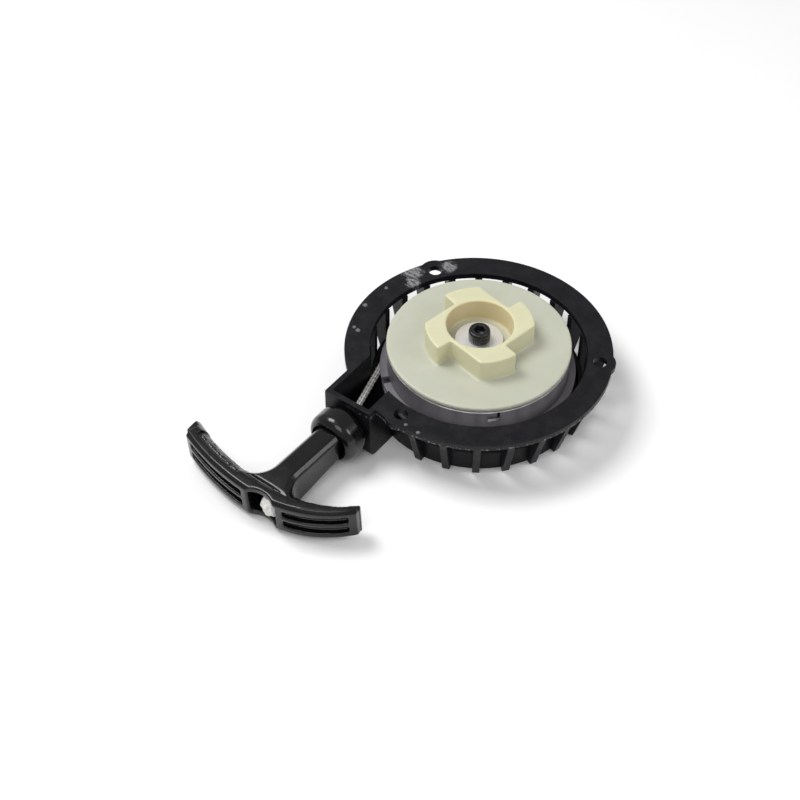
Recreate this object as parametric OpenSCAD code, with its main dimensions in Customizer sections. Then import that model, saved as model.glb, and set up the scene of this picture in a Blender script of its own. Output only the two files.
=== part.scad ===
// Recoil starter for a small two-stroke engine, lying on its cover.
// Origin: centre of the flange's mounting face. +Z points towards the engine,
// and the rope leaves through the box on the -Y side.

/* [Flange] */
// Outer radius of the mounting flange
flange_r = 52.4; // [51:0.1:54]
// Inner radius of the flange, around the reel
flange_in_r = 42.5; // [41.5:0.1:44]
// Thickness of the flange
flange_t = 2.4; // [2:0.1:3]
// Diameter of the circle of the three bolts
bolt_pcd = 94.7; // [94:0.1:96]
// Diameter of each bolt hole
bolt_d = 5.5; // [5:0.1:6]
// Angle of the first bolt hole
bolt_angle = 26.8; // [20:0.2:34]
// Radius of the small ear around each bolt hole
ear_r = 6.2; // [5.5:0.1:7]

/* [Cover] */
// Depth of the cover below the flange face
cover_h = 24; // [23:0.5:26]
// Thickness of the cover's floor
floor_t = 2; // [1.5:0.1:2.5]
// Outer radius of the low wall between the vanes
wall_r = 42; // [41:0.1:43]
// Thickness of the low wall
wall_t = 2; // [1.6:0.1:2.4]
// Height of the low wall above the underside
wall_h = 8.5; // [6:0.5:11]
// Thickness of one vane
vane_t = 2.8; // [2:0.1:4]
// Radius of the vanes' outer edge under the flange
vane_top_r = 50.4; // [48:0.1:51]
// Radius of the vanes' outer edge at the underside
vane_low_r = 44.2; // [43:0.1:46]
// Number of vane places around the cover
vane_places = 24; // [20:1:30]
// Angle of the first vane
vane_angle = 4.5; // [0:0.5:15]

/* [Rope box] */
// Low X side of the box, outside
box_x0 = -33; // [-34:0.1:-32]
// High X side of the box, outside
box_x1 = -11.6; // [-12.4:0.1:-11]
// Outer face of the box's end wall, as a distance from the centre
box_y = 54.7; // [54:0.1:57]
// Thickness of the box's walls
box_t = 2.1; // [1.8:0.1:2.4]

/* [Reel] */
// Radius of the fixed centre post
post_r = 6; // [5.5:0.1:7]
// Top of the centre post above the flange face
post_top = 3.4; // [3:0.1:4]
// Running gap around the post
post_gap = 0.05; // [0.03:0.01:0.1]
// Radius of the reel's upper rim
reel_r = 38.6; // [38:0.1:39.2]
// Height of the rope groove's middle
groove_z = -12.8; // [-13.2:0.1:-12.4]
// Width of the rope groove
groove_w = 3.8; // [3.7:0.1:4.2]
// Outer radius of the spring cup on the reel
cup_r = 35.6; // [35:0.1:36]
// Width of the notch in the upper rim, in degrees
notch_deg = 5.4; // [3:0.2:8]
// Middle angle of the notch at rest
notch_angle = -129.8; // [-140:0.2:-120]

/* [Claw plate] */
// Radius of the claw plate's disc
disc_r = 36.1; // [35.6:0.1:36.6]
// Top of the disc above the flange face
disc_top = 3; // [2.6:0.1:3.4]
// Thickness of the disc
disc_t = 2; // [1.6:0.1:2.2]
// Top of the dogs above the flange face
dog_top = 12.4; // [11:0.1:14]
// Radius of the dogs' tips
dog_r = 21.2; // [20:0.1:22]
// Radius of the recess inside the dogs
dog_bore_r = 13; // [12.4:0.1:13.4]
// Radius at the foot of each driving face
dog_foot_r = 14.8; // [14.4:0.1:15.4]
// Angle of the first driving face
dog_angle = 76; // [60:1:90]
// Angle that one tip spans
dog_tip_deg = 41; // [34:1:46]

/* [Rope] */
// Diameter of the rope
rope_d = 3; // [2.8:0.1:3.1]
// Radius of the outermost turn's middle
wind_r = 36; // [35.8:0.1:36.2]
// Distance between the turns
turn_pitch = 3.3; // [3.2:0.1:3.4]

/* [Handle] */
// Length from the neck's end to the front of the bar
handle_len = 41; // [38:0.5:46]
// Radius of the curved front of the bar's -X wing
wing_left_r = 105; // [60:1:120]
// Angle that the -X wing spans from the middle
wing_left_deg = 24.5; // [20:0.5:40]
// Radius of the curved back of the -X wing
back_left_r = 105; // [95:1:160]
// Slant of the -X tip's end
tip_left_deg = 0; // [0:1:30]
// Radius of the curved front of the bar's +X wing
wing_right_r = 46; // [42:1:60]
// Angle that the +X wing spans from the middle
wing_right_deg = 48.5; // [38:0.5:50]
// Radius of the curved back of the +X wing
back_right_r = 50; // [40:1:60]
// Slant of the +X tip's end
tip_right_deg = 36; // [0:1:50]
// Angle at which the bar is set on the neck
bar_skew = 3; // [0:0.5:6]
// Height of the bar at its middle
bar_h = 16.4; // [14:0.2:17]
// Height of the bar at its tips
bar_tip_h = 14.4; // [13:0.2:16]
// Depth of the bar from front to back at its middle
bar_depth = 9.6; // [8:0.2:11]
// Width of the neck at the rope guide
neck_w = 10.6; // [9:0.2:12]
// Height of the neck at the rope guide
neck_h = 13; // [10:0.2:13]
// Turn of the handle about the vertical at rest
handle_yaw = -1.5; // [-3:0.5:3]
// Drop of the handle's outer end at rest
handle_drop = 4; // [0:0.5:5]
// Roll of the handle about its neck at rest
handle_roll = 0; // [-3:0.5:3]

/* [Hidden] */
$fn = 96;
eps = 0.01;
big = 200;

black_paint = [0.17, 0.17, 0.19];
black_plastic = [0.10, 0.10, 0.11];
grey_plastic = [0.42, 0.40, 0.43];
nylon = [0.78, 0.76, 0.64];
rope_white = [0.88, 0.87, 0.84];
spring_steel = [0.45, 0.47, 0.50];
bright_zinc = [0.80, 0.81, 0.83];
black_oxide = [0.08, 0.08, 0.09];

// cover
cover_z = -cover_h;
floor_top = cover_z + floor_t;
vane_step = 360 / vane_places;
box_from = 222;
box_to = 264;

// spring pocket in the cover
pocket_r = 33.4;
pocket_wall = 1.8;
pocket_top = -16.9;
pocket_slot = 1.6;

// centre stack
washer_low_t = 0.6;
washer_low_r = 10;
washer_top_r = 9.35;
washer_top_t = 1;
screw_r = 2.5;
screw_head_r = 4.25;
screw_head_h = 5;
screw_len = 16;
hex_key = 4;
hex_depth = 2.6;

// reel
rope_r = rope_d / 2;
hub_r = 9.5;
hub_bore = post_r + post_gap;
reel_low = floor_top + washer_low_t + 0.3;
rim_under = groove_z + groove_w / 2;
rim_top = rim_under + 1.1;
low_rim_top = groove_z - groove_w / 2;
low_rim_t = 1.3;
low_rim_r = reel_r - 0.6;
core_out_r = 24.4;
core_in_r = 21.4;
cup_wall = 1.7;
cup_top = -0.1;
turns = 3;
wind_first = wind_r - turns * turn_pitch;
knot_angle = 70;
slit_angle = -42.5;
slit_w = 1.1;
slit_low = -3.8;

// spiral springs
strip_t = 0.6;
recoil_z = -21.3;
recoil_h = 4.2;
recoil_in = 10.4;
recoil_out = 32.2;
recoil_turns = 9;
assist_in = 10.9;
assist_out = 32.6;
assist_z = -8.8;
assist_h = 8;
assist_turns = 7;
tail_z = -3.5;
tail_h = 1.1;
tail_len = 4.6;
tail_gap = 0.3;
hook_in = 1.6;
hook_reach = 4.2;
hook_len = 3;

// claw plate
plate_hub_low = rim_top + 0.3;
disc_under = disc_top - disc_t;
plate_floor = disc_top - 0.1;
cover_t = 0.5;

// rope guide and the rope's way out
guide_x = (box_x0 + box_x1) / 2;
guide_z = -12;
guide_r = 10.6;
guide_len = 12;
guide_round = 4;
guide_bore = 2.6;
guide_hole = 4.5;
seat_r = 8;
seat_deep = 4;
bend_y = -(box_y + 0.8);
wind_dist = norm([guide_x, bend_y]);
leave_angle = atan2(bend_y, guide_x) - acos(wind_r / wind_dist);
leave_gap = 0.4;

// handle, in its own frame: neck's end at the origin, bar towards -Y
handle_x = guide_x + 0.2;
handle_y = -(box_y + guide_len - 2);
bar_back = 5;
back_round = (bar_back * bar_back + bar_h * bar_h / 4) / (2 * bar_back);
bar_half = 46;
bar_level = 16;
neck_long = handle_len - bar_depth + 3;
blend_r = 10;
neck_straight = neck_long - blend_r;
neck_bevel = 1.9;
rope_bore = 2.1;
window_w = 12.4;
window_h = 11;
window_deep = 8;
scoop_r = 9.5;
scoop_deep = 2.6;
knot_r = 4;
knot_back = 4.4;
front_groove_h = 3.5;
front_groove_deep = 2.4;
front_groove_z = 2.75;
groove_from = 9.5;
groove_end = 4.6;

// --- helpers -----------------------------------------------------------

// a flat ring with its underside at z
module ring(r_out, r_in, z, h) {
    translate([0, 0, z])
        difference() {
            cylinder(r = r_out, h = h);
            translate([0, 0, -1])
                cylinder(r = r_in, h = h + 2);
        }
}

// a wedge with its point on the axis, used to cut notches
module wedge(angle, width_deg, z, h) {
    reach = 60;
    translate([0, 0, z])
        linear_extrude(h)
            polygon([[0, 0],
                     reach * [cos(angle - width_deg / 2), sin(angle - width_deg / 2)],
                     reach * [cos(angle + width_deg / 2), sin(angle + width_deg / 2)]]);
}

// outline of a flat spiral strip from radius r0 to r1, with a hook bent inwards at its start
// and, where reach is more than 0, one bent outwards at its end
function spiral(r0, r1, n, steps, t, reach = 0) =
    let (last = n * steps,
         inner = [for (k = [0 : last])
                     (r0 + (r1 - r0) * k / last) * [cos(360 * k / steps), sin(360 * k / steps)]],
         outer = [for (k = [last : -1 : 0])
                     (r0 + t + (r1 - r0) * k / last) * [cos(360 * k / steps), sin(360 * k / steps)]],
         out_hook = reach > 0
                    ? [[r1, t], [r1 + reach, t], [r1 + reach, -hook_len],
                       [r1 + reach - t, -hook_len], [r1 + reach - t, 0]]
                    : [],
         in_hook = [[r0 + t, -t], [r0 - hook_in, -t], [r0 - hook_in, 0]])
    concat(inner, out_hook, outer, in_hook);

// the handle's place at rest
module at_handle() {
    translate([handle_x, handle_y, guide_z])
        rotate([0, 0, handle_yaw])
            rotate([handle_drop, 0, 0])
                rotate([0, handle_roll, 0])
                    children();
}

// a point of the handle's axis, at a distance from the neck's end
function on_handle(d) =
    [handle_x + d * cos(handle_drop) * sin(handle_yaw),
     handle_y - d * cos(handle_drop) * cos(handle_yaw),
     guide_z - d * sin(handle_drop)];

// --- fixed parts ---------------------------------------------------------

module flange() {
    translate([0, 0, -flange_t])
        cylinder(r = flange_r, h = flange_t);
    for (i = [0 : 2])
        rotate([0, 0, bolt_angle + 120 * i])
            translate([bolt_pcd / 2, 0, -flange_t])
                cylinder(r = ear_r, h = flange_t);
}

// one rib between the flange and the low wall
module vane() {
    difference() {
        rotate([90, 0, 0])
            translate([0, 0, -vane_t / 2])
                linear_extrude(vane_t)
                    polygon([[wall_r - 1, -flange_t], [vane_top_r, -flange_t],
                             [vane_low_r, cover_z], [wall_r - 1, cover_z]]);
        translate([0, 0, cover_z - 1])
            cylinder(r = wall_r, h = cover_h);
    }
}

module cooling_vanes() {
    color(black_paint)
        for (i = [0 : vane_places - 1]) {
            a = vane_angle + i * vane_step;
            if (a < box_from || a > box_to)
                rotate([0, 0, a])
                    vane();
        }
}

// outside of the rope box: square on top, with a rounded lower corner
module box_outside() {
    corner = 4;
    translate([box_x0, 0, 0])
        rotate([90, 0, 90])
            linear_extrude(box_x1 - box_x0) {
                translate([-box_y, cover_z + corner])
                    square([box_y - 28, cover_h - corner]);
                translate([-box_y + corner, cover_z])
                    square([box_y - 28 - corner, cover_h]);
                translate([-box_y + corner, cover_z + corner])
                    circle(r = corner);
            }
}

module box_inside() {
    difference() {
        translate([box_x0 + box_t, -box_y + box_t, floor_top])
            cube([box_x1 - box_x0 - 2 * box_t, box_y - box_t - 20, cover_h]);
        translate([0, 0, cover_z])
            cylinder(r = wall_r - wall_t - 0.4, h = big);
    }
}

// relief along the rope, where it passes the start of the box's wall
module rope_relief() {
    back = rope_start - rope_bend;
    translate(rope_bend)
        rotate([0, acos(back[2] / norm(back)), atan2(back[1], back[0])])
            cylinder(r = rope_r + 0.5, h = norm(back));
}

// open box beside the reel, from which the rope leaves
module rope_box() {
    color(black_paint)
        difference() {
            box_outside();
            box_inside();
            translate([0, 0, cover_z - 1])
                cylinder(r = wall_r, h = big);
            translate([0, 0, -flange_t])
                cylinder(r = flange_r, h = 10);
            translate([guide_x, 0, guide_z])
                rotate([90, 0, 0])
                    cylinder(r = guide_hole, h = box_y + 5);
            rope_relief();
        }
}

module spring_pocket() {
    difference() {
        ring(pocket_r + pocket_wall, pocket_r, floor_top - eps, pocket_top - floor_top);
        translate([pocket_r - 2, -pocket_slot / 2, floor_top])
            cube([10, pocket_slot, 20]);
    }
}

// shallow rings and a boss on the cover's underside
module underside_relief() {
    translate([0, 0, cover_z - eps])
        difference() {
            cylinder(r = 30, h = 0.8);
            translate([0, 0, -1])
                cylinder(r = 12, h = 3);
            for (a = [0 : 45 : 315])
                rotate([0, 0, a])
                    translate([0, -1.5, -1])
                        cube([40, 3, 3]);
        }
}

// flat ring with the three bolt holes, which meets the engine
module mounting_flange() {
    color(black_paint)
        difference() {
            flange();
            translate([0, 0, -10])
                cylinder(r = flange_in_r, h = 20);
            box_inside();
            for (i = [0 : 2])
                rotate([0, 0, bolt_angle + 120 * i])
                    translate([bolt_pcd / 2, 0, -10])
                        cylinder(d = bolt_d, h = 20);
        }
}

// dished cover with the low wall, the spring's pocket and the centre post
module cover() {
    color(black_paint)
        difference() {
            union() {
                translate([0, 0, cover_z])
                    cylinder(r = wall_r, h = floor_t);
                difference() {
                    ring(wall_r, wall_r - wall_t, cover_z, wall_h);
                    box_inside();
                }
                spring_pocket();
                translate([0, 0, floor_top - eps])
                    cylinder(r = post_r, h = post_top - floor_top + eps);
            }
            translate([0, 0, post_top - screw_len])
                cylinder(r = screw_r, h = big);
            underside_relief();
        }
}

// rounded bush on the box's end wall; the neck of the handle sits in its mouth
module rope_guide() {
    spigot = box_t + 1.2;
    color(black_plastic)
        translate([guide_x, -box_y, guide_z])
            rotate([90, 0, 0])
                difference() {
                    union() {
                        rotate_extrude() {
                            square([guide_r - guide_round, guide_len]);
                            translate([0, guide_round])
                                square([guide_r, guide_len - 2 * guide_round]);
                            translate([guide_r - guide_round, guide_round])
                                circle(r = guide_round);
                            translate([guide_r - guide_round, guide_len - guide_round])
                                circle(r = guide_round);
                        }
                        translate([0, 0, -spigot])
                            cylinder(r = guide_hole, h = spigot + 1);
                    }
                    translate([0, 0, -spigot - 1])
                        cylinder(r = guide_bore, h = big);
                    translate([0, 0, -spigot - eps])
                        cylinder(r1 = guide_bore + 1.1, r2 = guide_bore, h = 1.4);
                    translate([0, 0, guide_len - seat_deep])
                        cylinder(r = seat_r, h = big);
                }
}

module thrust_washer() {
    color(nylon)
        ring(washer_low_r, hub_bore + 0.1, floor_top, washer_low_t);
}

module retaining_washer() {
    color(bright_zinc)
        ring(washer_top_r, screw_r + 0.2, post_top, washer_top_t);
}

module centre_screw() {
    head_z = post_top + washer_top_t;
    color(black_oxide)
        difference() {
            union() {
                translate([0, 0, head_z])
                    cylinder(r = screw_head_r, h = screw_head_h - 0.5);
                translate([0, 0, head_z + screw_head_h - 0.5])
                    cylinder(r1 = screw_head_r, r2 = screw_head_r - 0.5, h = 0.5);
                translate([0, 0, head_z - screw_len])
                    cylinder(r = screw_r, h = screw_len + eps);
            }
            translate([0, 0, head_z + screw_head_h - hex_depth])
                cylinder(r = hex_key / 2 / cos(30), h = 5, $fn = 6);
        }
}

// spiral strip that winds the rope back in
module recoil_spring() {
    color(spring_steel)
        translate([0, 0, recoil_z])
            linear_extrude(recoil_h)
                polygon(spiral(recoil_in, recoil_out, recoil_turns, 20, strip_t, hook_reach));
}

// --- reel ------------------------------------------------------------------

module pulley() {
    color(grey_plastic)
        difference() {
            union() {
                ring(hub_r, hub_bore, reel_low, rim_top - reel_low);
                ring(reel_r, hub_bore, rim_under, rim_top - rim_under);
                ring(core_out_r, core_in_r, low_rim_top - low_rim_t, rim_under - low_rim_top + low_rim_t + eps);
                ring(low_rim_r, core_in_r, low_rim_top - low_rim_t, low_rim_t);
                ring(cup_r, cup_r - cup_wall, rim_top - eps, cup_top - rim_top);
            }
            difference() {
                wedge(notch_angle, notch_deg, rim_under - 1, 4);
                translate([0, 0, -30])
                    cylinder(r = cup_r, h = 60);
            }
            rotate([0, 0, slit_angle])
                translate([cup_r - 4, -(slit_w + strip_t) / 2, slit_low])
                    cube([8, slit_w, 10]);
            rotate([0, 0, knot_angle])
                translate([core_in_r - 1, 0, groove_z])
                    rotate([0, 90, 0])
                        cylinder(r = rope_r + 0.2, h = 6);
            translate([0, -0.8, reel_low - 1])
                cube([hub_r + 2, 2.2, recoil_h + 2.4]);
        }
}

module pulley_knot() {
    knot_out = core_in_r - 2.6;
    color(rope_white)
        rotate([0, 0, knot_angle])
            translate([knot_out, 0, groove_z - 0.6])
                sphere(r = 2.5, $fn = 32);
}

// rope laid in the groove, one turn outside the other
module rope_winding() {
    sweep = 300;
    end_gap = 0.6;
    color(rope_white) {
        for (i = [0 : turns - 1])
            translate([0, 0, groove_z])
                rotate_extrude()
                    translate([wind_first + i * turn_pitch, 0])
                        circle(r = rope_r, $fn = 32);
        translate([0, 0, groove_z])
            rotate([0, 0, leave_angle - end_gap - sweep])
                rotate_extrude(angle = sweep)
                    translate([wind_r, 0])
                        circle(r = rope_r, $fn = 32);
        rotate([0, 0, knot_angle])
            translate([core_in_r, 0, groove_z])
                rotate([0, 90, 0])
                    cylinder(r = rope_r, h = wind_first - core_in_r, $fn = 32);
    }
}

// --- assist spring and claw plate -------------------------------------------

// spiral strip between the reel's cup and the claw plate's hub
module assist_spring() {
    color(spring_steel) {
        rotate([0, 0, slit_angle])
            translate([0, 0, assist_z])
                linear_extrude(assist_h)
                    polygon(spiral(assist_in, assist_out, assist_turns, 20, strip_t));
        rotate([0, 0, slit_angle])
            translate([0, 0, tail_z])
                linear_extrude(tail_h) {
                    translate([assist_out, -strip_t])
                        square([cup_r - assist_out + tail_gap + strip_t, strip_t]);
                    translate([cup_r + tail_gap, -tail_len])
                        square([strip_t, tail_len]);
                }
    }
}

// thin plate that keeps the assist spring in the cup
module assist_spring_cover() {
    color(bright_zinc)
        ring(cup_r + 0.2, hub_r + 2.5, cup_top, cover_t);
}

// one dog: a radial driving face, a round tip and a sloping back
function dog_outline(a) =
    concat([dog_foot_r * [cos(a), sin(a)]],
           [for (k = [0 : 6])
               dog_r * [cos(a - dog_tip_deg * k / 6), sin(a - dog_tip_deg * k / 6)]]);

module claw_plate() {
    dogs = [for (i = [0 : 3]) each dog_outline(dog_angle - 90 * i)];
    color(nylon)
        difference() {
            union() {
                translate([0, 0, disc_under])
                    cylinder(r = disc_r, h = disc_t);
                translate([0, 0, disc_top - eps])
                    linear_extrude(dog_top - disc_top)
                        polygon(dogs);
                translate([0, 0, plate_hub_low])
                    cylinder(r = hub_r, h = disc_under - plate_hub_low + eps);
            }
            translate([0, 0, plate_hub_low - 1])
                cylinder(r = hub_bore, h = big);
            translate([0, 0, plate_floor])
                cylinder(r = dog_bore_r, h = big);
            rotate([0, 0, slit_angle])
                translate([0, -0.8, plate_hub_low - 1])
                    cube([hub_r + 2, 2.2, disc_under - plate_hub_low + 0.6]);
        }
}

// --- handle ---------------------------------------------------------------------

// section of the bar's back: round, then flat on top and underneath
module back_section(back) {
    translate([back + bar_back, -bar_h / 2])
        square([2 * bar_depth, bar_h]);
    intersection() {
        translate([back, -bar_h / 2])
            square([bar_back + eps, bar_h]);
        translate([back + back_round, 0])
            circle(r = back_round);
    }
}

// turns its children round an arc that starts square at the middle of the bar's front
module along_wing(front, from, to) {
    translate([0, front, 0])
        rotate([0, 0, -90 + from])
            rotate_extrude(angle = to - from)
                children();
}

// one wing, between the arcs of its front and its back, and cut flat at its tip
module wing(front, back, span, slant) {
    tip = front * [sin(span), 1 - cos(span)];
    cut = 3 * bar_depth * [-sin(slant), cos(slant)];
    intersection() {
        translate([0, bar_depth + back, 0])
            rotate([0, 0, -90])
                rotate_extrude(angle = 60)
                    back_section(back);
        translate([0, front, -bar_h])
            cylinder(r = front, h = 2 * bar_h);
        translate([0, 0, -bar_h])
            linear_extrude(2 * bar_h)
                polygon([[0, -big], tip - cut, tip + cut, [0, big]]);
    }
}

// the two long grooves in the front of a wing
module front_grooves(front, span) {
    mm = 180 / PI / front;
    for (z = [-front_groove_z, front_groove_z])
        along_wing(front, groove_from * mm, span - groove_end * mm)
            translate([front - front_groove_deep, z - front_groove_h / 2])
                square([front_groove_deep + 1, front_groove_h]);
}

// the bar's outline from the front, lower at its tips
module bar_height() {
    rotate([90, 0, 0])
        linear_extrude(big, center = true)
            polygon([[-bar_half, -bar_tip_h / 2], [-bar_level, -bar_h / 2], [bar_level, -bar_h / 2],
                     [bar_half, -bar_tip_h / 2], [bar_half, bar_tip_h / 2], [bar_level, bar_h / 2],
                     [-bar_level, bar_h / 2], [-bar_half, bar_tip_h / 2]]);
}

module bar() {
    intersection() {
        union() {
            wing(wing_right_r, back_right_r, wing_right_deg, tip_right_deg);
            mirror([1, 0, 0])
                wing(wing_left_r, back_left_r, wing_left_deg, tip_left_deg);
        }
        bar_height();
    }
}

// the bar's place on the neck, turned a little about the middle of its front
module on_bar() {
    translate([0, -handle_len, 0])
        rotate([0, 0, bar_skew])
            children();
}

// neck seen from above, widening into the bar
module neck_plan() {
    half = neck_w / 2;
    translate([-half, -neck_long])
        square([neck_w, neck_long]);
    for (side = [0, 1])
        mirror([side, 0])
            difference() {
                translate([half - eps, -neck_long])
                    square([blend_r, blend_r]);
                translate([half + blend_r, -neck_long + blend_r])
                    circle(r = blend_r);
            }
}

// neck seen from the side, a little lower at the rope guide
module neck_side() {
    polygon([[0, -neck_h / 2], [0, neck_h / 2], [-neck_straight, bar_h / 2], [-neck_long, bar_h / 2],
             [-neck_long, -bar_h / 2], [-neck_straight, -bar_h / 2]]);
}

// bevels of the neck's long edges, carried on round the fillets
module neck_bevels() {
    rise = atan((bar_h - neck_h) / 2 / neck_straight);
    side = neck_bevel * sqrt(2);
    for (sx = [0, 1])
        for (sz = [0, 1])
            mirror([sx, 0, 0])
                mirror([0, 0, sz]) {
                    translate([neck_w / 2, 0, neck_h / 2])
                        rotate([-rise, 0, 0])
                            translate([0, -neck_straight / 2 / cos(rise), 0])
                                rotate([0, 45, 0])
                                    cube([side, neck_straight / cos(rise), side], center = true);
                    translate([neck_w / 2 + blend_r, -neck_straight, bar_h / 2])
                        rotate([0, 0, 180])
                            rotate_extrude(angle = 90)
                                polygon([[blend_r - 1, -neck_bevel - 1],
                                         [blend_r + neck_bevel + 1, 1], [blend_r - 1, 1]]);
                }
}

module neck() {
    difference() {
        intersection() {
            translate([0, 0, -bar_h])
                linear_extrude(2 * bar_h)
                    neck_plan();
            rotate([90, 0, 90])
                translate([0, 0, -bar_h * 2])
                    linear_extrude(bar_h * 4)
                        neck_side();
        }
        neck_bevels();
    }
}

module handle() {
    color(black_plastic)
        at_handle()
            difference() {
                union() {
                    on_bar()
                        bar();
                    neck();
                }
                on_bar() {
                    front_grooves(wing_right_r, wing_right_deg);
                    mirror([1, 0, 0])
                        front_grooves(wing_left_r, wing_left_deg);
                }
                translate([-window_w / 2, -handle_len - 1, -window_h / 2])
                    cube([window_w, window_deep + 1, window_h]);
                translate([0, scoop_deep - handle_len - scoop_r, -bar_h])
                    cylinder(r = scoop_r, h = 2 * bar_h);
                rotate([90, 0, 0])
                    translate([0, 0, -1])
                        cylinder(r = rope_bore, h = handle_len);
            }
}

module handle_knot() {
    color(rope_white)
        at_handle()
            translate([0, -handle_len + knot_back, 0])
                sphere(r = knot_r - 0.3, $fn = 48);
}

// the rope's route from the reel, through the guide and the neck, to its knot
leave_dir = [-sin(leave_angle), cos(leave_angle), 0];
rope_start = wind_r * [cos(leave_angle), sin(leave_angle), 0] + leave_gap * leave_dir + [0, 0, groove_z];
rope_bend = [guide_x, bend_y, guide_z];
rope_end = on_handle(handle_len - knot_back - knot_r + 0.8);

function unit(v) = v / norm(v);

// eases the corner of the route between two straight stretches
function bend_points(a, corner, b, size, n) =
    [for (i = [0 : n])
        let (t = i / n,
             p = corner + size * unit(a - corner),
             q = corner + size * unit(b - corner))
        (1 - t) * (1 - t) * p + 2 * t * (1 - t) * corner + t * t * q];

route = concat([rope_start],
               [for (i = [1 : 5]) rope_start + (rope_bend - rope_start) * i / 6],
               bend_points(rope_start, rope_bend, rope_end, 2.5, 4),
               [for (i = [1 : 6]) rope_bend + (rope_end - rope_bend) * i / 6]);

// one ring of points round the route
function tube_ring(p, along, r, sides) =
    let (side = unit(cross(along, [0, 0, 1])),
         up = cross(side, along))
    [for (k = [0 : sides - 1])
        p + r * (cos(360 * k / sides) * side + sin(360 * k / sides) * up)];

module tube(points, r, sides) {
    n = len(points);
    rings = [for (i = [0 : n - 1])
                each tube_ring(points[i],
                               unit(points[min(i + 1, n - 1)] - points[max(i - 1, 0)]), r, sides)];
    walls = [for (i = [0 : n - 2])
                for (k = [0 : sides - 1])
                    [i * sides + k, i * sides + (k + 1) % sides,
                     (i + 1) * sides + (k + 1) % sides, (i + 1) * sides + k]];
    polyhedron(rings, concat(walls,
                             [[for (k = [sides - 1 : -1 : 0]) k]],
                             [[for (k = [0 : sides - 1]) (n - 1) * sides + k]]));
}

module rope_run() {
    color(rope_white)
        tube(route, rope_r, 8);
}

mounting_flange();
cooling_vanes();
cover();
rope_box();
rope_guide();
thrust_washer();
recoil_spring();
retaining_washer();
centre_screw();
pulley();
pulley_knot();
rope_winding();
assist_spring();
assist_spring_cover();
claw_plate();
handle();
handle_knot();
rope_run();
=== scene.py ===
"""Looks for the recoil starter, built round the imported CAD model. Lengths are metres, in the CAD frame."""
import math

import bmesh
import bpy
import numpy as np
from mathutils import Matrix, Vector, noise


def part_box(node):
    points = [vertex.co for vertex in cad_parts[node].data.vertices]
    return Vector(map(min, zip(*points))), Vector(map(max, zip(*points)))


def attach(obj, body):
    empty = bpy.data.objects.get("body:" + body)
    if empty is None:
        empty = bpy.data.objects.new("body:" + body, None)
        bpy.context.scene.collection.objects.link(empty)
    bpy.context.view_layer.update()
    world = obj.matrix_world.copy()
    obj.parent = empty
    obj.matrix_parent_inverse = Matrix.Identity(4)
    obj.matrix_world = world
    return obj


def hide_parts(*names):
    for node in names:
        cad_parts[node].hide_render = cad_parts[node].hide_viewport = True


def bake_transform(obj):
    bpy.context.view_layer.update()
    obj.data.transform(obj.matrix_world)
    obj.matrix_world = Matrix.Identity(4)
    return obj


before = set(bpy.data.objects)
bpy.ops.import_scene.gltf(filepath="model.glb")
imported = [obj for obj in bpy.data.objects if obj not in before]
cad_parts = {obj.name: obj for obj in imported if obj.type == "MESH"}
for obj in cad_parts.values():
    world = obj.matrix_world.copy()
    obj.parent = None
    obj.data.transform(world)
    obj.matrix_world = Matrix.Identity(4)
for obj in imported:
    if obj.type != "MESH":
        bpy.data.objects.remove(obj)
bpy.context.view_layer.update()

MM = 0.001

# Sizes repeated from part.scad, in millimetres.
GUIDE = (-22.3, -54.7, -12.0)
HANDLE_AT = (-22.1, -64.7, -12.0)
HANDLE_YAW = -1.5
HANDLE_DROP = 4.0
HANDLE_LEN = 41.0
BAR_SKEW = 3.0
BAR_H = 16.4
BAR_TIP_H = 14.4
BAR_HALF = 46.0
BAR_LEVEL = 16.0
WINGS = {1: (46.0, 48.5), -1: (105.0, 24.5)}
KNOT_BACK = 4.4
WIND_R = 36.0
WIND_FIRST = 26.1
TURN_PITCH = 3.3
GROOVE_Z = -12.8
ROPE_R = 1.5
BEND_Y = -55.5
HEAD_Z = 4.4
HEAD_R = 4.25
HEAD_H = 5.0
HEX_KEY = 4.0
HEX_DEPTH = 2.6
FLOOR_Z = -24.0


# --- shader helpers ---------------------------------------------------------------

def new_material(name):
    """An empty node material, and its tree and shader."""
    mat = bpy.data.materials.new(name)
    mat.use_nodes = True
    tree = mat.node_tree
    tree.nodes.clear()
    out = tree.nodes.new("ShaderNodeOutputMaterial")
    bsdf = tree.nodes.new("ShaderNodeBsdfPrincipled")
    tree.links.new(bsdf.outputs["BSDF"], out.inputs["Surface"])
    return mat, tree, bsdf


def feed(tree, socket, value):
    """Links value to a socket when it is a socket, and sets it otherwise."""
    if isinstance(value, bpy.types.NodeSocket):
        tree.links.new(value, socket)
    else:
        socket.default_value = value


def place(tree):
    """Position on the object, in metres."""
    return tree.nodes.new("ShaderNodeTexCoord").outputs["Object"]


def grain(tree, size, detail=3.0, rough=0.55, stretch=None):
    """Noise whose features are about size metres across."""
    tex = tree.nodes.new("ShaderNodeTexNoise")
    tex.inputs["Scale"].default_value = 1.0 / size
    tex.inputs["Detail"].default_value = detail
    tex.inputs["Roughness"].default_value = rough
    where = place(tree)
    if stretch:
        mapping = tree.nodes.new("ShaderNodeMapping")
        mapping.inputs["Scale"].default_value = stretch
        tree.links.new(where, mapping.inputs["Vector"])
        where = mapping.outputs["Vector"]
    tree.links.new(where, tex.inputs["Vector"])
    return tex.outputs["Fac"]


def calc(tree, how, a, b=0.0, clamp=False):
    node = tree.nodes.new("ShaderNodeMath")
    node.operation = how
    node.use_clamp = clamp
    feed(tree, node.inputs[0], a)
    feed(tree, node.inputs[1], b)
    return node.outputs[0]


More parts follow.
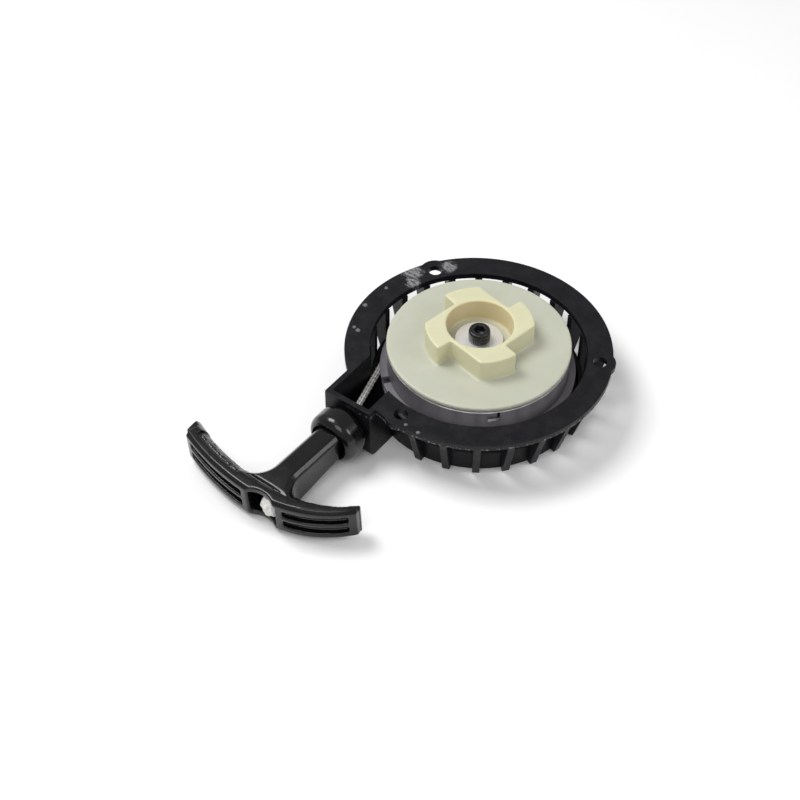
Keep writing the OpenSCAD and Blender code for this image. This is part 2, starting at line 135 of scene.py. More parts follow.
def ease(tree, value, low, high, to_low=0.0, to_high=1.0):
    """Smooth step of value from low to high."""
    node = tree.nodes.new("ShaderNodeMapRange")
    node.interpolation_type = "SMOOTHSTEP"
    feed(tree, node.inputs["Value"], value)
    node.inputs["From Min"].default_value = low
    node.inputs["From Max"].default_value = high
    node.inputs["To Min"].default_value = to_low
    node.inputs["To Max"].default_value = to_high
    return node.outputs["Result"]


def blend_colour(tree, factor, a, b):
    node = tree.nodes.new("ShaderNodeMix")
    node.data_type = "RGBA"
    feed(tree, node.inputs[0], factor)
    feed(tree, node.inputs[6], a)
    feed(tree, node.inputs[7], b)
    return node.outputs[2]


def raised(tree, height, distance, strength=1.0, soft=0.0):
    """Normal from a height, on top of edges softened by soft metres."""
    node = tree.nodes.new("ShaderNodeBump")
    node.inputs["Distance"].default_value = distance
    node.inputs["Strength"].default_value = strength
    tree.links.new(height, node.inputs["Height"])
    if soft:
        edge = tree.nodes.new("ShaderNodeBevel")
        edge.samples = 4
        edge.inputs["Radius"].default_value = soft
        tree.links.new(edge.outputs["Normal"], node.inputs["Normal"])
    return node.outputs["Normal"]


def spot(tree, x, y, z, size):
    """1 at a point, given in millimetres, and 0 from size millimetres away."""
    node = tree.nodes.new("ShaderNodeVectorMath")
    node.operation = "DISTANCE"
    tree.links.new(place(tree), node.inputs[0])
    node.inputs[1].default_value = (x * MM, y * MM, z * MM)
    return ease(tree, node.outputs["Value"], 0.25 * size * MM, size * MM, 1.0, 0.0)


def axes(tree):
    """X, Y and Z of the position on the object."""
    node = tree.nodes.new("ShaderNodeSeparateXYZ")
    tree.links.new(place(tree), node.inputs[0])
    return node.outputs


def from_axis(tree):
    """Distance from the starter's axis."""
    where = axes(tree)
    x = where[0]
    y = where[1]
    return calc(tree, "SQRT", calc(tree, "ADD", calc(tree, "MULTIPLY", x, x), calc(tree, "MULTIPLY", y, y)))


# --- materials ------------------------------------------------------------------------

def flange_scuffs(tree):
    """Where the paint of the flange is rubbed through."""
    streaks = grain(tree, 0.0022, 7.0, 0.80, (1.0, 2.2, 1.0))
    patches = [
        spot(tree, -46.5, 19.5, 0, 8.5),
        spot(tree, -42.5, 14.5, 0, 6.0),
        spot(tree, -36.5, 31.0, 0, 6.5),
    ]
    area = patches[0]
    for patch in patches[1:]:
        area = calc(tree, "MAXIMUM", area, patch)
    rubbed = ease(tree, calc(tree, "ADD", streaks, calc(tree, "MULTIPLY", area, 0.28)), 0.66, 0.84)
    return calc(tree, "MULTIPLY", rubbed, area, clamp=True)


def flange_specks(tree):
    """Small chips in the paint of the flange's top."""
    wobble = grain(tree, 0.0007, 4.0, 0.7)
    area = None
    for x, y, size in ((-49.2, 5.3, 1.5), (-49.9, -7.8, 1.9), (-45.6, -20.5, 1.4),
                       (-43.3, -21.0, 1.7), (2.0, -50.4, 1.3), (8.0, -50.9, 1.5)):
        one = spot(tree, x, y, 0, size)
        area = one if area is None else calc(tree, "MAXIMUM", area, one)
    return ease(tree, calc(tree, "MULTIPLY", area, wobble), 0.30, 0.42, 0.0, 0.55)


def rim_chips(tree):
    """Broken paint along the flange's lower outer edge."""
    x, y, z = axes(tree)
    out = ease(tree, from_axis(tree), 0.0516, 0.0523)
    low = ease(tree, z, -0.0012, -0.0019)
    above = ease(tree, z, -0.0029, -0.0024)
    side = ease(tree, calc(tree, "SUBTRACT", x, y), 0.02, 0.05)
    broken = ease(tree, grain(tree, 0.0011, 5.0, 0.7), 0.52, 0.62)
    band = calc(tree, "MULTIPLY", low, above)
    edge = calc(tree, "MULTIPLY", calc(tree, "MULTIPLY", out, band), side)
    return calc(tree, "MULTIPLY", edge, broken)


def cast_black():
    """Satin black paint on a die casting."""
    mat, tree, bsdf = new_material("cast_black")
    mottle = ease(tree, grain(tree, 0.006, 5.0, 0.6), 0.35, 0.7)
    fine = grain(tree, 0.00035, 3.0, 0.6)
    paint = blend_colour(tree, mottle, (0.0035, 0.0035, 0.005, 1), (0.008, 0.008, 0.010, 1))
    paint = blend_colour(tree, ease(tree, fine, 0.4, 0.75, 0.0, 0.5), paint, (0.016, 0.016, 0.019, 1))
    marks = calc(tree, "MAXIMUM", flange_scuffs(tree), flange_specks(tree))
    bare = calc(tree, "MAXIMUM", marks, rim_chips(tree))
    metal = blend_colour(tree, grain(tree, 0.0009, 4.0), (0.09, 0.09, 0.095, 1), (0.42, 0.42, 0.43, 1))
    feed(tree, bsdf.inputs["Base Color"], blend_colour(tree, bare, paint, metal))
    feed(tree, bsdf.inputs["Roughness"], ease(tree, mottle, 0.0, 1.0, 0.34, 0.48))
    bsdf.inputs["Specular IOR Level"].default_value = 0.22
    relief = calc(tree, "ADD", calc(tree, "MULTIPLY", fine, 0.5), grain(tree, 0.0014, 3.0))
    feed(tree, bsdf.inputs["Normal"], raised(tree, relief, 0.00012, 0.8, 0.00035))
    return mat


def grey_plastic():
    """The reel: dark grey moulding, lighter round its rim, partly as rubbed wear and partly as painted light on
    the lit rim.
    """
    mat, tree, bsdf = new_material("grey_plastic")
    cloud = grain(tree, 0.004, 5.0, 0.6)
    far = from_axis(tree)
    # Painted lighter from 35.2 mm out: partly rubbed wear, partly painted light, a lit rim colour beside a base
    # colour taken from the shaded drum.
    rim = ease(tree, far, 0.0352, 0.0362)
    base = blend_colour(tree, cloud, (0.060, 0.056, 0.064, 1), (0.115, 0.107, 0.122, 1))
    worn_and_lit = blend_colour(tree, cloud, (0.150, 0.142, 0.158, 1), (0.230, 0.219, 0.240, 1))
    colour = blend_colour(tree, rim, base, worn_and_lit)
    scratch = ease(tree, grain(tree, 0.0012, 6.0, 0.8, (1, 1, 6)), 0.60, 0.72, 0.0, 0.55)
    feed(tree, bsdf.inputs["Base Color"], blend_colour(tree, scratch, colour, (0.26, 0.25, 0.27, 1)))
    feed(tree, bsdf.inputs["Roughness"], ease(tree, cloud, 0.3, 0.7, 0.30, 0.48))
    feed(tree, bsdf.inputs["Normal"], raised(tree, grain(tree, 0.0008, 4.0), 0.00010, 0.7, 0.0003))
    return mat


def natural_nylon():
    """Uncoloured nylon: cream, a little clouded, light passes into it."""
    mat, tree, bsdf = new_material("natural_nylon")
    cloud = grain(tree, 0.010, 4.0, 0.55)
    z = axes(tree)[2]
    # The thin disc is painted greyer than the dogs: painted shade for the dark parts seen through it.
    plate = ease(tree, z, 0.0031, 0.0036, 1.0, 0.0)
    dogs = blend_colour(tree, cloud, (0.68, 0.67, 0.47, 1), (0.60, 0.58, 0.37, 1))
    shaded_disc = blend_colour(tree, cloud, (0.55, 0.56, 0.47, 1), (0.46, 0.47, 0.38, 1))
    colour = blend_colour(tree, plate, dogs, shaded_disc)
    far = from_axis(tree)
    # The bore wall inside the recess is painted warmer and golden: painted warm shade.
    painted_bore_shade = calc(tree, "MULTIPLY", ease(tree, far, 0.0136, 0.0130), ease(tree, z, 0.0028, 0.0034))
    colour = blend_colour(tree, calc(tree, "MULTIPLY", painted_bore_shade, 0.6), colour, (0.74, 0.60, 0.32, 1))
    smudge = ease(tree, grain(tree, 0.003, 6.0, 0.75), 0.60, 0.80, 0.0, 0.28)
    colour = blend_colour(tree, smudge, colour, (0.33, 0.30, 0.20, 1))
    feed(tree, bsdf.inputs["Base Color"], colour)
    bsdf.inputs["Subsurface Weight"].default_value = 0.35
    bsdf.inputs["Subsurface Radius"].default_value = (1.0, 0.85, 0.5)
    bsdf.inputs["Subsurface Scale"].default_value = 0.0025
    feed(tree, bsdf.inputs["Roughness"], ease(tree, cloud, 0.3, 0.7, 0.34, 0.46))
    feed(tree, bsdf.inputs["Normal"], raised(tree, grain(tree, 0.0011, 4.0), 0.00005, 0.7))
    return mat


def nylon_washer():
    mat, tree, bsdf = new_material("nylon_washer")
    cloud = grain(tree, 0.003, 4.0)
    colour = blend_colour(tree, cloud, (0.76, 0.73, 0.58, 1), (0.66, 0.62, 0.47, 1))
    feed(tree, bsdf.inputs["Base Color"], colour)
    feed(tree, bsdf.inputs["Roughness"], ease(tree, cloud, 0.3, 0.7, 0.35, 0.5))
    feed(tree, bsdf.inputs["Normal"], raised(tree, cloud, 0.00005))
    return mat


def metal(name, light, dark, rough_low, rough_high, relief, soft=0.0002):
    """Bare or plated metal with drawn marks and light tarnish."""
    mat, tree, bsdf = new_material(name)
    marks = grain(tree, 0.0006, 5.0, 0.7, (1, 1, 7))
    cloud = grain(tree, 0.004, 4.0)
    mixed = calc(tree, "ADD", calc(tree, "MULTIPLY", marks, 0.5), calc(tree, "MULTIPLY", cloud, 0.5))
    feed(tree, bsdf.inputs["Base Color"], blend_colour(tree, ease(tree, mixed, 0.35, 0.65), light, dark))
    bsdf.inputs["Metallic"].default_value = 1.0
    feed(tree, bsdf.inputs["Roughness"], ease(tree, mixed, 0.35, 0.65, rough_low, rough_high))
    feed(tree, bsdf.inputs["Normal"], raised(tree, marks, relief, 0.8, soft))
    return mat


def black_oxide():
    """Oiled black finish of the screw, painted lighter on its edges as a painted highlight."""
    mat, tree, bsdf = new_material("black_oxide")
    cloud = grain(tree, 0.0012, 5.0, 0.7)
    geometry = tree.nodes.new("ShaderNodeNewGeometry")
    # Pointy edges painted light grey: a painted highlight for the glints on the screw's edges.
    edge = ease(tree, geometry.outputs["Pointiness"], 0.53, 0.60, 0.0, 0.55)
    dark = blend_colour(tree, cloud, (0.012, 0.012, 0.014, 1), (0.035, 0.035, 0.040, 1))
    feed(tree, bsdf.inputs["Base Color"], blend_colour(tree, edge, dark, (0.34, 0.34, 0.36, 1)))
    bsdf.inputs["Metallic"].default_value = 0.5
    feed(tree, bsdf.inputs["Roughness"], ease(tree, cloud, 0.3, 0.7, 0.18, 0.34))
    feed(tree, bsdf.inputs["Normal"], raised(tree, cloud, 0.00004, 0.8))
    return mat


def moulded_black(name, low, high, rough_low, rough_high, coat=0.0, soft=0.0):
    """Black moulded plastic with handling marks."""
    mat, tree, bsdf = new_material(name)
    cloud = grain(tree, 0.005, 5.0, 0.6)
    fine = grain(tree, 0.0004, 3.0, 0.6)
    colour = blend_colour(tree, cloud, (low, low, low * 1.12, 1), (high, high, high * 1.12, 1))
    dust = ease(tree, grain(tree, 0.0009, 7.0, 0.85), 0.66, 0.76, 0.0, 0.2)
    feed(tree, bsdf.inputs["Base Color"], blend_colour(tree, dust, colour, (0.07, 0.07, 0.075, 1)))
    feed(tree, bsdf.inputs["Roughness"], ease(tree, cloud, 0.3, 0.7, rough_low, rough_high))
    bsdf.inputs["Specular IOR Level"].default_value = 0.24
    if coat:
        bsdf.inputs["Coat Weight"].default_value = coat
        bsdf.inputs["Coat Roughness"].default_value = 0.08
    feed(tree, bsdf.inputs["Normal"], raised(tree, fine, 0.00004, 0.7, soft))
    return mat


def rope_white():
    """White braid with grey flecks in it, and painted shade between its strands."""
    mat, tree, bsdf = new_material("rope_white")
    fleck = ease(tree, grain(tree, 0.0006, 4.0, 0.7), 0.60, 0.68, 0.0, 0.75)
    thread = grain(tree, 0.0003, 3.0, 0.7)
    base = blend_colour(tree, thread, (0.92, 0.91, 0.88, 1), (0.60, 0.59, 0.56, 1))
    geometry = tree.nodes.new("ShaderNodeNewGeometry")
    # Hollows between the strands are painted dark: painted shade.
    crevice_shade = ease(tree, geometry.outputs["Pointiness"], 0.42, 0.50, 0.85, 0.0)
    base = blend_colour(tree, crevice_shade, base, (0.13, 0.13, 0.13, 1))
    feed(tree, bsdf.inputs["Base Color"], blend_colour(tree, fleck, base, (0.16, 0.16, 0.17, 1)))
    bsdf.inputs["Sheen Weight"].default_value = 0.35
    bsdf.inputs["Sheen Roughness"].default_value = 0.4
    feed(tree, bsdf.inputs["Roughness"], ease(tree, thread, 0.3, 0.7, 0.62, 0.82))
    feed(tree, bsdf.inputs["Normal"], raised(tree, thread, 0.00018, 0.9))
    return mat


def knot_white():
    """Rope end melted into a lump."""
    mat, tree, bsdf = new_material("knot_white")
    lump = grain(tree, 0.0011, 5.0, 0.7)
    pits = ease(tree, grain(tree, 0.0005, 5.0, 0.8), 0.54, 0.64, 0.0, 0.75)
    base = blend_colour(tree, lump, (0.90, 0.89, 0.86, 1), (0.66, 0.64, 0.60, 1))
    feed(tree, bsdf.inputs["Base Color"], blend_colour(tree, pits, base, (0.12, 0.12, 0.11, 1)))
    bsdf.inputs["Subsurface Weight"].default_value = 0.15
    bsdf.inputs["Subsurface Scale"].default_value = 0.001
    feed(tree, bsdf.inputs["Roughness"], ease(tree, lump, 0.3, 0.7, 0.40, 0.65))
    feed(tree, bsdf.inputs["Normal"], raised(tree, lump, 0.0003, 0.9))
    return mat


# --- mesh helpers ---------------------------------------------------------------------

def mesh_object(name, points, faces, mat, smooth=True):
    """A mesh piece from points in metres."""
    mesh = bpy.data.meshes.new(name)
    mesh.from_pydata([tuple(p) for p in points], [], [tuple(f) for f in faces])
    mesh.update()
    mesh.materials.append(mat)
    obj = bpy.data.objects.new(name, mesh)
    bpy.context.scene.collection.objects.link(obj)
    mesh.polygons.foreach_set("use_smooth", [smooth] * len(mesh.polygons))
    return obj


def positions(obj):
    co = np.zeros(len(obj.data.vertices) * 3)
    obj.data.vertices.foreach_get("co", co)
    return co.reshape(-1, 3)


def normals(obj):
    no = np.zeros(len(obj.data.vertices) * 3)
    obj.data.vertices.foreach_get("normal", no)
    return no.reshape(-1, 3)


def set_positions(obj, co):
    obj.data.vertices.foreach_set("co", co.ravel())
    obj.data.update()


def apply_modifiers(obj):
    """Replaces the mesh by what its modifiers make of it."""
    graph = bpy.context.evaluated_depsgraph_get()
    made = bpy.data.meshes.new_from_object(obj.evaluated_get(graph))
    old = obj.data
    obj.modifiers.clear()
    obj.data = made
    bpy.data.meshes.remove(old)


def remeshed_copy(node, name, mat, voxel, smooth_steps):
    """A copy of a CAD node as an even mesh with its edges rounded."""
    obj = bpy.data.objects.new(name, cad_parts[node].data.copy())
    bpy.context.scene.collection.objects.link(obj)
    work = bmesh.new()
    work.from_mesh(obj.data)
    bmesh.ops.remove_doubles(work, verts=work.verts, dist=1e-6)
    work.to_mesh(obj.data)
    work.free()
    remesh = obj.modifiers.new("even", "REMESH")
    remesh.mode = "VOXEL"
    remesh.voxel_size = voxel
    remesh.adaptivity = 0.0
    smoother = obj.modifiers.new("round", "SMOOTH")
    smoother.factor = 0.5
    smoother.iterations = smooth_steps
    apply_modifiers(obj)
    obj.data.materials.clear()
    obj.data.materials.append(mat)
    obj.data.polygons.foreach_set("use_smooth", [True] * len(obj.data.polygons))
    return obj


def smooth(obj, steps, factor=0.5):
    smoother = obj.modifiers.new("round", "SMOOTH")
    smoother.factor = factor
    smoother.iterations = steps
    apply_modifiers(obj)


def step(value, low, high):
    t = np.clip((value - low) / (high - low), 0, 1)
    return t * t * (3 - 2 * t)


def lumps(co, size, seed=0.0):
    """Noise from -1 to 1 at each point, with features of size metres."""
    return np.array([noise.noise(Vector(p) / size + Vector((seed, seed, seed))) for p in co])


# --- handle -------------------------------------------------------------------------------

def handle_matrix():
    """Handle's own frame to the row frame, in metres."""
    yaw = Matrix.Rotation(math.radians(HANDLE_YAW), 4, "Z")
    drop = Matrix.Rotation(math.radians(HANDLE_DROP), 4, "X")
    return Matrix.Translation(Vector(HANDLE_AT) * MM) @ (yaw @ drop)


def bar_matrix():
    """Bar's frame, at the middle of its front, to the row frame."""
    turn = Matrix.Rotation(math.radians(BAR_SKEW), 4, "Z")
    return handle_matrix() @ Matrix.Translation((0, -HANDLE_LEN * MM, 0)) @ turn


def in_frame(matrix, co):
    """Points of the row frame in millimetres of another frame."""
    back = np.array(matrix.inverted())
    return (co @ back[:3, :3].T + back[:3, 3]) / MM


def wing_place(local):
    """For each point of the bar: depth behind its front, length from the middle, and length left to the tip."""
    depth = np.zeros(len(local))
    run = np.zeros(len(local))
    left = np.zeros(len(local))
    for side, (front, span) in WINGS.items():
        here = local[:, 0] * side >= 0
        x = local[here, 0] * side
        y = front - local[here, 1]
        depth[here] = front - np.hypot(x, y)
        run[here] = front * np.arctan2(x, y)
        left[here] = math.radians(span) * front - run[here]
    return depth, run, left


def cut_front_edges(local, depth, left):
    """How far each point is pushed in by the bevels along the bar's front and tips."""
    half = np.interp(np.abs(local[:, 0]), [BAR_LEVEL, BAR_HALF], [BAR_H / 2, BAR_TIP_H / 2])
    top = np.clip(half - np.abs(local[:, 2]), 0, None)
    front = np.clip(1.3 - (top + np.clip(depth, 0, None)), 0, None)
    tip = np.clip(1.2 - (top + np.clip(left, 0, None)), 0, None)
    corner = np.clip(1.6 - (np.clip(depth, 0, None) + np.clip(left, 0, None)), 0, None)
    return front, tip, corner


def shape_grip(obj):
    """The bar's details: bevels, and the sunk, grained grip strip on the back of each wing."""
    co = positions(obj)
    local = in_frame(bar_matrix(), co)
    depth, run, left = wing_place(local)
    front, tip, corner = cut_front_edges(local, depth, left)
    up = np.sign(local[:, 2])
    frame3 = np.array(bar_matrix())[:3, :3]
    angle = np.arctan2(local[:, 0], 60.0)
    inward = np.stack([-np.sin(angle), np.cos(angle), np.zeros(len(co))], 1) @ frame3.T
    down = np.stack([np.zeros(len(co)), np.zeros(len(co)), -up], 1) @ frame3.T
    along = np.stack([-np.sign(local[:, 0]), np.zeros(len(co)), np.zeros(len(co))], 1) @ frame3.T
    bar = (depth < 11) & (local[:, 1] > -1)
    shift = front[:, None] * (inward + down)
    shift = shift + tip[:, None] * (along + down)
    shift = (shift + corner[:, None] * (inward + along)) * 0.5
    co = co + shift * bar[:, None] * MM
    set_positions(obj, co)
    smooth(obj, 5)
    co = positions(obj)
    local = in_frame(bar_matrix(), co)
    depth, run, left = wing_place(local)
    on_wing = step(run, 13.0, 16.0) * step(left, 3.6, 4.4) * (depth < 14)
    line = np.exp(-((depth - 4.3) / 0.50) ** 2)
    sunk = step(depth, 4.4, 5.0)
    rough = lumps(co, 0.0009) * 0.22 + lumps(co, 0.00045, 5.0) * 0.12
    notch = np.exp(-((left - 4.2) / 0.45) ** 2) * step(depth, 4.0, 4.6) * (run > 12) * (depth < 14)
    push = on_wing * (-0.95 * line + sunk * (rough - 0.50)) - 0.9 * notch
    set_positions(obj, co + normals(obj) * push[:, None] * MM)


def build_handle(mat):
    obj = remeshed_copy("handle", "handle_moulding", mat, 0.00034, 9)
    shape_grip(obj)
    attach(obj, "handle_body")
    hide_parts("handle")
    return obj


def lump_ball(name, centre, size, mat, seed):
    """A melted knot: a ball drawn out to size and dented."""
    work = bmesh.new()
    bmesh.ops.create_icosphere(work, subdivisions=5, radius=1.0)
    points = np.array([v.co for v in work.verts])
    faces = [[v.index for v in f.verts] for f in work.faces]
    work.free()
    dents = lumps(points, 0.55, seed) * 0.14 + lumps(points, 0.22, seed + 3) * 0.07
    points = points * (1 + dents)[:, None] * np.array(size)[None, :]
    return mesh_object(name, points + np.array(centre)[None, :], faces, mat)


def build_handle_knot(mat):
    centre = handle_matrix() @ Vector((1.7 * MM, (KNOT_BACK - HANDLE_LEN) * MM, 0))
    obj = lump_ball("handle_rope_knot", centre, (0.0040, 0.0037, 0.0051), mat, 1.0)
    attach(obj, "handle_body")
    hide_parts("handle_knot")
    return obj


def build_pulley_knot(mat):
    low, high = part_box("pulley_knot")
    centre = (low + high) / 2
    obj = lump_ball("reel_rope_knot", centre, (0.0025, 0.0025, 0.0025), mat, 7.0)
    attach(obj, "reel_body")
    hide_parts("pulley_knot")
    return obj


# --- rope -------------------------------------------------------------------------------------

def frames_along(path):
    """Two side directions for each point of a path that lies nearly flat."""
    ahead = np.gradient(path, axis=0)
    ahead /= np.linalg.norm(ahead, axis=1)[:, None]
    side = np.cross(ahead, [0, 0, 1.0])
    side /= np.linalg.norm(side, axis=1)[:, None]
    return side, np.cross(side, ahead)


def braid(name, path, radius, mat, relief):
    """A braided rope along a path in metres; relief is how far its strands stand out at each point."""
    around = 32
    side, up = frames_along(path)
    gap = np.linalg.norm(np.diff(path, axis=0), axis=1)
    run = np.concatenate([[0], np.cumsum(gap)])
    theta = np.linspace(0, 2 * math.pi, around, endpoint=False)
    twist = run[:, None] * 2 * math.pi / 0.0046
    strands = np.cos(4 * theta[None, :] + twist) * np.cos(4 * theta[None, :] - twist)
    r = radius * (1 + relief[:, None] * (strands - 1))
    ring = np.cos(theta)[None, :, None] * side[:, None, :] + np.sin(theta)[None, :, None] * up[:, None, :]
    points = (path[:, None, :] + r[:, :, None] * ring).reshape(-1, 3)
    n = len(path)
    faces = []
    for i in range(n - 1):
        j = i + 1
        for k in range(around):
            m = (k + 1) % around
            faces.append((i * around + k, i * around + m, j * around + m, j * around + k))
    faces.append(tuple(range(around - 1, -1, -1)))
    faces.append(tuple((n - 1) * around + k for k in range(around)))
    return mesh_object(name, points, faces, mat)


def leave_angle():
    """Where the rope leaves its winding, in radians."""
    reach = math.hypot(GUIDE[0], BEND_Y)
    return math.atan2(BEND_Y, GUIDE[0]) - math.acos(WIND_R / reach)


def corner_points(a, corner, b, size, n):
    """Eases the corner of a route."""
    p = corner + size * (a - corner) / np.linalg.norm(a - corner)
    q = corner + size * (b - corner) / np.linalg.norm(b - corner)
    t = np.linspace(0, 1, n)[:, None]
    return (1 - t) ** 2 * p + 2 * t * (1 - t) * corner + t * t * q


def build_rope_run(mat):
    """Rope from the reel, through the guide and the neck, to its knot."""
    a = leave_angle()
    start = np.array([WIND_R * math.cos(a), WIND_R * math.sin(a), GROOVE_Z])
    start = start + 0.4 * np.array([-math.sin(a), math.cos(a), 0])
    bend = np.array([GUIDE[0], BEND_Y, GUIDE[2]])
    end = np.array(handle_matrix() @ Vector((0, -(HANDLE_LEN - KNOT_BACK - 3.2) * MM, 0))) / MM
    curve = corner_points(start, bend, end, 2.5, 14)
    first = np.linspace(start, curve[0], 150, endpoint=False)
    toward = (end - curve[-1]) / np.linalg.norm(end - curve[-1])
    pay_from = curve[-1] + toward * 1.0
    pay_to = curve[-1] + toward * 9.0
    second = np.linspace(curve[-1], pay_from, 6, endpoint=False)[1:]
    third = np.linspace(pay_from, pay_to, 420, endpoint=False)
    last = np.linspace(pay_to, end, 90)
    path = np.concatenate([first, curve, second, third, last])
    relief = np.full(len(path), 0.26)
    relief[len(first) + len(curve) + len(second):-len(last)] = 0.0
    obj = braid("pull_rope", path * MM, ROPE_R * MM, mat, relief)
    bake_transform(obj)
    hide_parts("rope_run")
    return obj


def build_winding(mat):
    """Rope on the reel: whole inner turns, and an outer one that ends where the rope leaves."""
    pieces = []
    for i in range(3):
        r = WIND_FIRST + i * TURN_PITCH
        turn = np.linspace(0, 2 * math.pi, 420, endpoint=False)
        path = np.stack([r * np.cos(turn), r * np.sin(turn), np.full(420, GROOVE_Z)], 1) * MM
        wrapped = np.concatenate([path, path[:1]])
        pieces.append(braid(f"rope_turn_{i + 1}", wrapped, ROPE_R * MM, mat, np.full(421, 0.20)))
    a = leave_angle() - math.radians(0.6)
    turn = np.linspace(a - math.radians(300), a, 700)
    path = np.stack([WIND_R * np.cos(turn), WIND_R * np.sin(turn), np.full(700, GROOVE_Z)], 1) * MM
    pieces.append(braid("rope_turn_4", path, ROPE_R * MM, mat, np.full(700, 0.20)))
    for obj in pieces:
        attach(obj, "reel_body")
        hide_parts("rope_winding")
    return pieces


# --- claw plate, screw and marks -------------------------------------------------------------

def build_claw(mat):
    obj = remeshed_copy("claw_plate", "claw_moulding", mat, 0.00045, 5)
    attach(obj, "claw_body")
    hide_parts("claw_plate")
    return obj


def build_screw(mat):
    """Socket head screw: knurled side, rounded rim, hexagon socket with a drill point."""
    around = 144
    theta = np.linspace(0, 2 * math.pi, around, endpoint=False)
    hexagon = HEX_KEY / 2 / np.cos((theta + math.pi / 6) % (math.pi / 3) - math.pi / 6)
    top = HEAD_Z + HEAD_H
    knurl = 0.07 * np.cos(36 * theta)
    one = np.ones(around)
    shank = 2.5
    rings = [
        (one * 0.02, -11.6), (one * (shank - 0.5), -11.6), (one * shank, -11.0), (one * shank, HEAD_Z),
        (one * (HEAD_R - 0.25), HEAD_Z), (one * HEAD_R - 0.07 + knurl * 0.4, HEAD_Z + 0.35),
        (one * HEAD_R - 0.07 + knurl, HEAD_Z + 0.7), (one * HEAD_R - 0.07 + knurl, top - 1.1),
        (one * HEAD_R - 0.10, top - 0.8), (one * (HEAD_R - 0.22), top - 0.3),
        (one * (HEAD_R - 0.5), top - 0.06),
        (one * (HEAD_R - 0.8), top), (one * 2.75, top), (np.minimum(hexagon + 0.18, 2.7), top - 0.12),
        (hexagon, top - 0.4), (hexagon, top - HEX_DEPTH), (one * 1.7, top - HEX_DEPTH - 0.1),
        (one * 0.02, top - HEX_DEPTH - 0.9)]
    points = []
    for radius, z in rings:
        points.extend(np.stack([radius * np.cos(theta), radius * np.sin(theta), np.full(around, z)], 1) * MM)
    faces = []
    for i in range(len(rings) - 1):
        for k in range(around):
            m = (k + 1) % around
            faces.append((i * around + k, i * around + m, (i + 1) * around + m, (i + 1) * around + k))
    faces.append(tuple(range(around - 1, -1, -1)))
    faces.append(tuple((len(rings) - 1) * around + k for k in range(around)))
    obj = mesh_object("socket_screw", points, faces, mat)
    obj.data.set_sharp_from_angle(angle=math.radians(38))
    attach(obj, "housing_body")
    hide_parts("centre_screw")
    return obj


def build_ejector_marks(mat):
    """Faint raised rings that ejector pins left on the flange."""
    points = []
    faces = []
    around = 48
    for angle in (-175, -139, 78.7, 3.4, -56.5, -101.7):
        cx = 46.6 * math.cos(math.radians(angle))
        cy = 46.6 * math.sin(math.radians(angle))
        base = len(points)
        for radius, z in ((3.0, -0.12), (3.1, 0.02), (3.2, 0.03), (3.3, 0.02), (3.4, -0.12)):
            for k in range(around):
                t = 2 * math.pi * k / around
                points.append(((cx + radius * math.cos(t)) * MM, (cy + radius * math.sin(t)) * MM, z * MM))
        for i in range(5):
            j = (i + 1) % 5
            for k in range(around):
                m = (k + 1) % around
                low = base + i * around
                high = base + j * around
                faces.append((low + k, high + k, high + m, low + m))
    obj = mesh_object("ejector_marks", points, faces, mat)
    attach(obj, "housing_body")
    return obj


# --- stage -----------------------------------------------------------------------------------------

def turned(vector, axis, angle):
    return Matrix.Rotation(angle, 3, Vector(axis)) @ Vector(vector)


def build_camera():
    """Camera at the photograph's angle."""
    elevation = math.radians(44.306)
    distance = 0.6332
    f = 72.97 / 36
    ox = 0.0983
    oy = -0.0667
    right = Vector((1, 0, 0))
    ahead = Vector((0, math.cos(elevation), -math.sin(elevation)))
    up = Vector((0, math.sin(elevation), math.cos(elevation)))
    aim = ahead.copy()
    where = -aim * distance
    pan = math.atan2(ox, f)
    tilt = math.atan2(oy, math.hypot(f, ox))
    ahead = turned(ahead, up, pan)
    right = turned(right, up, pan)
    ahead, up = turned(ahead, right, tilt), turned(up, right, tilt)
    roll = math.radians(-3.206)
    right, up, ahead = turned(right, aim, roll), turned(up, aim, roll), turned(ahead, aim, roll)
    spin = Matrix.Rotation(math.radians(32.5), 3, "Z")
    right, up, ahead, where = spin @ right, spin @ up, spin @ ahead, spin @ where
    data = bpy.data.cameras.new("photo_camera")
    data.lens = 72.97
    data.sensor_width = 36
    data.clip_start = 0.01
    data.clip_end = 20
    cam = bpy.data.objects.new("photo_camera", data)
    bpy.context.scene.collection.objects.link(cam)
    turn = Matrix((right, up, -ahead)).transposed()
    cam.matrix_world = Matrix.Translation(where) @ turn.to_4x4()
    bpy.context.scene.camera = cam


def add_light(name, azimuth, elevation, distance, size, power, tint=(1, 1, 1)):
    """A soft square light that faces the part; azimuth runs from +X towards +Y."""
    az = math.radians(azimuth)
    el = math.radians(elevation)
    data = bpy.data.lights.new(name, "AREA")
    data.shape = "SQUARE"
    data.size = size
    data.energy = power
    data.color = tint
    lamp = bpy.data.objects.new(name, data)
    bpy.context.scene.collection.objects.link(lamp)
    lamp.location = Vector((math.cos(el) * math.cos(az), math.cos(el) * math.sin(az), math.sin(el))) * distance
    lamp.rotation_euler = (-lamp.location).to_track_quat("-Z", "Y").to_euler()


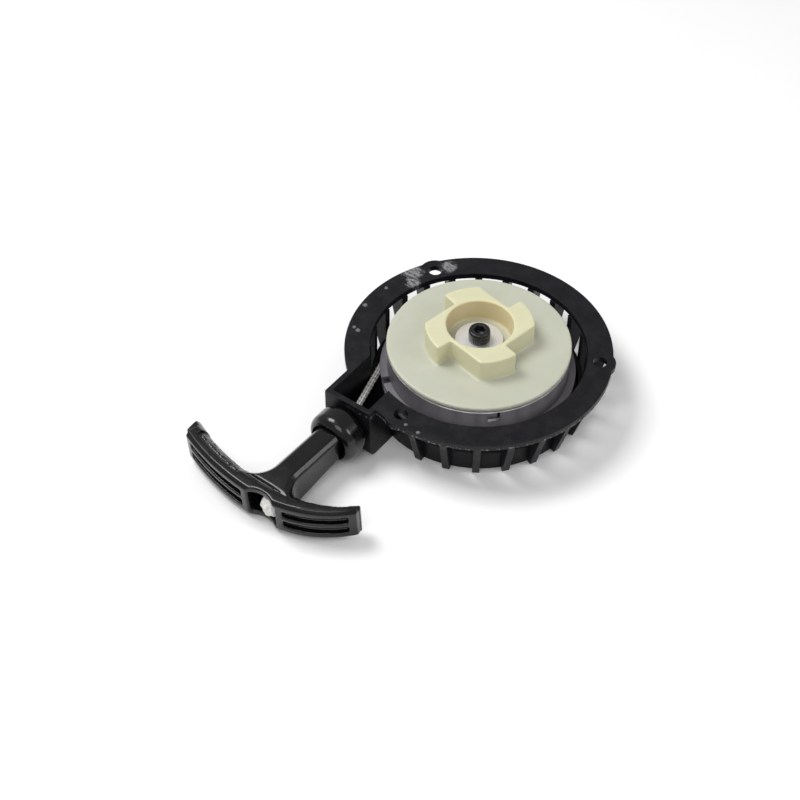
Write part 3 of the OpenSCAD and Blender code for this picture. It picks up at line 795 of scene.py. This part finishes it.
def build_stage():
    mat, tree, bsdf = new_material("floor_pale")
    cloud = grain(tree, 0.05, 3.0)
    pale = blend_colour(tree, cloud, (0.97, 0.97, 0.97, 1), (0.955, 0.955, 0.955, 1))
    feed(tree, bsdf.inputs["Base Color"], pale)
    bsdf.inputs["Roughness"].default_value = 0.8
    bsdf.inputs["Specular IOR Level"].default_value = 0.1
    z = (FLOOR_Z - 0.1) * MM
    half = 3.0
    corners = [(-half, -half, z), (half, -half, z), (half, half, z), (-half, half, z)]
    mesh_object("floor", corners, [(0, 1, 2, 3)], mat)
    world = bpy.data.worlds.new("studio")
    world.use_nodes = True
    world.node_tree.nodes["Background"].inputs["Color"].default_value = (1, 1, 1, 1)
    world.node_tree.nodes["Background"].inputs["Strength"].default_value = 0.42
    bpy.context.scene.world = world
    add_light("key_softbox", 195, 60, 0.9, 0.40, 5.2)
    add_light("front_softbox", -75, 50, 1.0, 0.5, 2.2)
    add_light("side_strip", 20, 35, 1.0, 0.35, 1.8)
    bpy.context.scene.view_settings.view_transform = "Standard"


# --- build -------------------------------------------------------------------------------------------

def paint(node, mat):
    """Gives a CAD node its material."""
    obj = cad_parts[node]
    obj.data.materials.clear()
    obj.data.materials.append(mat)


def main():
    build_camera()
    build_stage()
    black = cast_black()
    for node in ("mounting_flange", "cooling_vanes", "cover", "rope_box"):
        paint(node, black)
    zinc = metal("bright_zinc", (0.96, 0.96, 0.96, 1), (0.88, 0.88, 0.88, 1), 0.42, 0.52, 0.00002)
    steel = metal("spring_steel", (0.62, 0.62, 0.64, 1), (0.40, 0.40, 0.42, 1), 0.22, 0.40, 0.00003)
    paint("rope_guide", moulded_black("guide_black", 0.002, 0.004, 0.16, 0.26, 0.45))
    paint("thrust_washer", nylon_washer())
    paint("recoil_spring", steel)
    paint("assist_spring", steel)
    paint("retaining_washer", zinc)
    paint("assist_spring_cover", zinc)
    paint("pulley", grey_plastic())
    rope = rope_white()
    knot = knot_white()
    build_handle(moulded_black("handle_black", 0.002, 0.0045, 0.20, 0.30, 0.35))
    build_handle_knot(knot)
    build_pulley_knot(knot)
    build_rope_run(rope)
    build_winding(rope)
    build_claw(natural_nylon())
    build_screw(black_oxide())
    build_ejector_marks(black)


main()
